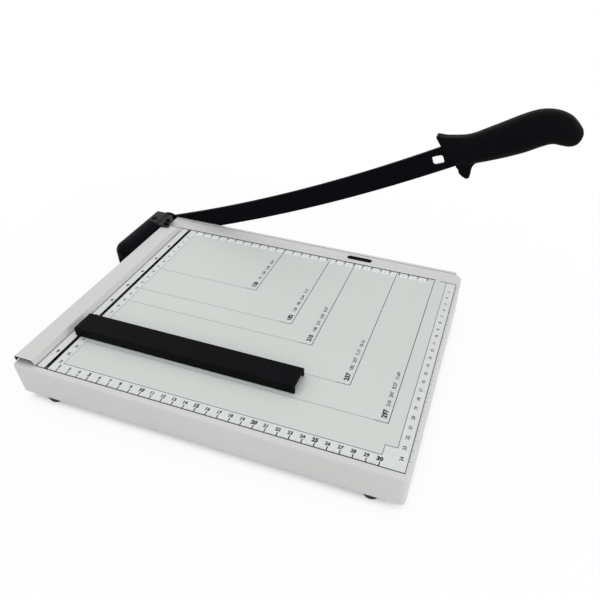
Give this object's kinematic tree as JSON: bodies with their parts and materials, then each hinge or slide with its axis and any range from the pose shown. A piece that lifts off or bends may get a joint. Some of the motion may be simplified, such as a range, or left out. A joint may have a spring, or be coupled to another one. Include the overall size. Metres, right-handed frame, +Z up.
{
  "type": "guillotine paper cutter",
  "caption": "Desk paper cutter: a low metal board with a raised fence, a long swinging blade arm with a moulded handle, and a sliding paper guide.",
  "frame": {"origin": "bottom centre of the whole cutter's bounding box, on the table", "axes": "+Z up, +Y away from the user towards the arm's pivot, +X to the user's right, out over the cutting edge"},
  "size_m": [0.2774, 0.4444, 0.2195],
  "materials": {
    "board_paint": "satin off-white enamel",
    "zinc": "zinc plated",
    "rubber": "matt",
    "cast_steel": "dark grey casting",
    "black_paint": "satin black",
    "blade_steel": "ground",
    "bronze": "sintered bronze",
    "black_plastic": "moulded, lightly grained"
  },
  "bodies": {
    "base": {"base_shell": "board_paint", "stiffener_1": "board_paint", "stiffener_2": "board_paint", "foot_1": "rubber", "foot_screw_1": "zinc", "foot_2": "rubber", "foot_screw_2": "zinc", "foot_3": "rubber", "foot_screw_3": "zinc", "foot_4": "rubber", "foot_screw_4": "zinc", "fence_rail": "board_paint", "strip_insert": "black_plastic", "lower_blade": "blade_steel", "blade_screw_1": "zinc", "blade_nut_1": "zinc", "blade_screw_2": "zinc", "blade_nut_2": "zinc", "blade_screw_3": "zinc", "blade_nut_3": "zinc", "blade_screw_4": "zinc", "blade_nut_4": "zinc", "bearing_block": "cast_steel", "tail_housing": "black_paint", "bracket_screw_1": "zinc", "bracket_screw_2": "zinc", "bracket_screw_3": "zinc", "bracket_screw_4": "zinc", "ear_screw_1": "black_paint", "ear_screw_2": "black_paint", "set_screw": "black_paint", "bush_front": "bronze", "bush_rear": "bronze", "pressure_spring": "zinc", "bore_plug": "black_plastic"},
    "arm": {"blade_arm": "black_paint", "handle_inner": "black_plastic", "handle_outer": "black_plastic", "handle_screw_1": "black_paint", "handle_screw_2": "black_paint", "pivot_bolt": "zinc", "arm_washer": "zinc", "spring_washer": "zinc", "lock_nut": "zinc"},
    "guide": {"guide_bar": "black_plastic", "guide_leaf": "zinc", "guide_plate": "zinc", "guide_pin_1": "zinc", "guide_pin_2": "zinc"}
  },
  "joints": [
    {"name": "arm_hinge", "type": "hinge", "parent": "base", "child": "arm", "pos_m": [0.12585, 0.20825, 0.028], "axis": [-1, 0, 0], "range_deg": [-21, 45]},
    {"name": "guide_slide", "type": "slide", "parent": "base", "child": "guide", "axis": [1, 0, 0], "range_m": [-0.044, 0.174]}
  ]
}
